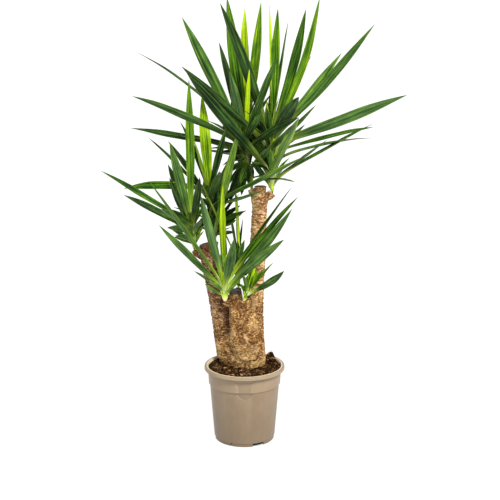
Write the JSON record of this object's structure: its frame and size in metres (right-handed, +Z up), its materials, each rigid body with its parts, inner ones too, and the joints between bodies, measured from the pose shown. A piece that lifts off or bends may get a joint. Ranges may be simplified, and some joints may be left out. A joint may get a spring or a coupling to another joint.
{
  "type": "potted giant yucca",
  "caption": "Potted giant yucca: a tapered plastic nursery pot of soil, a branched woody trunk with cut tops, and crowns of long sword-shaped leaves.",
  "frame": {"origin": "middle of the pot's foot, on the floor that it stands on", "axes": "+Z up along the pot's axis, -Y towards the viewer of the picture, +X to that viewer's right"},
  "size_m": [0.8656, 0.6555, 1.3112],
  "materials": {
    "pot_plastic": "satin taupe plastic",
    "soil": "dark potting soil with chips of bark",
    "bark": "rough tan bark with ringed leaf scars",
    "leaf": "waxy green leaf"
  },
  "bodies": {
    "root": {"pot": "pot_plastic", "soil": "soil", "trunk": "bark", "crown_top_right": "leaf", "crown_top_left": "leaf", "crown_left": "leaf", "crown_left_back": "leaf", "crown_front_left": "leaf", "crown_front_right": "leaf", "crown_front_back": "leaf"}
  },
  "joints": []
}
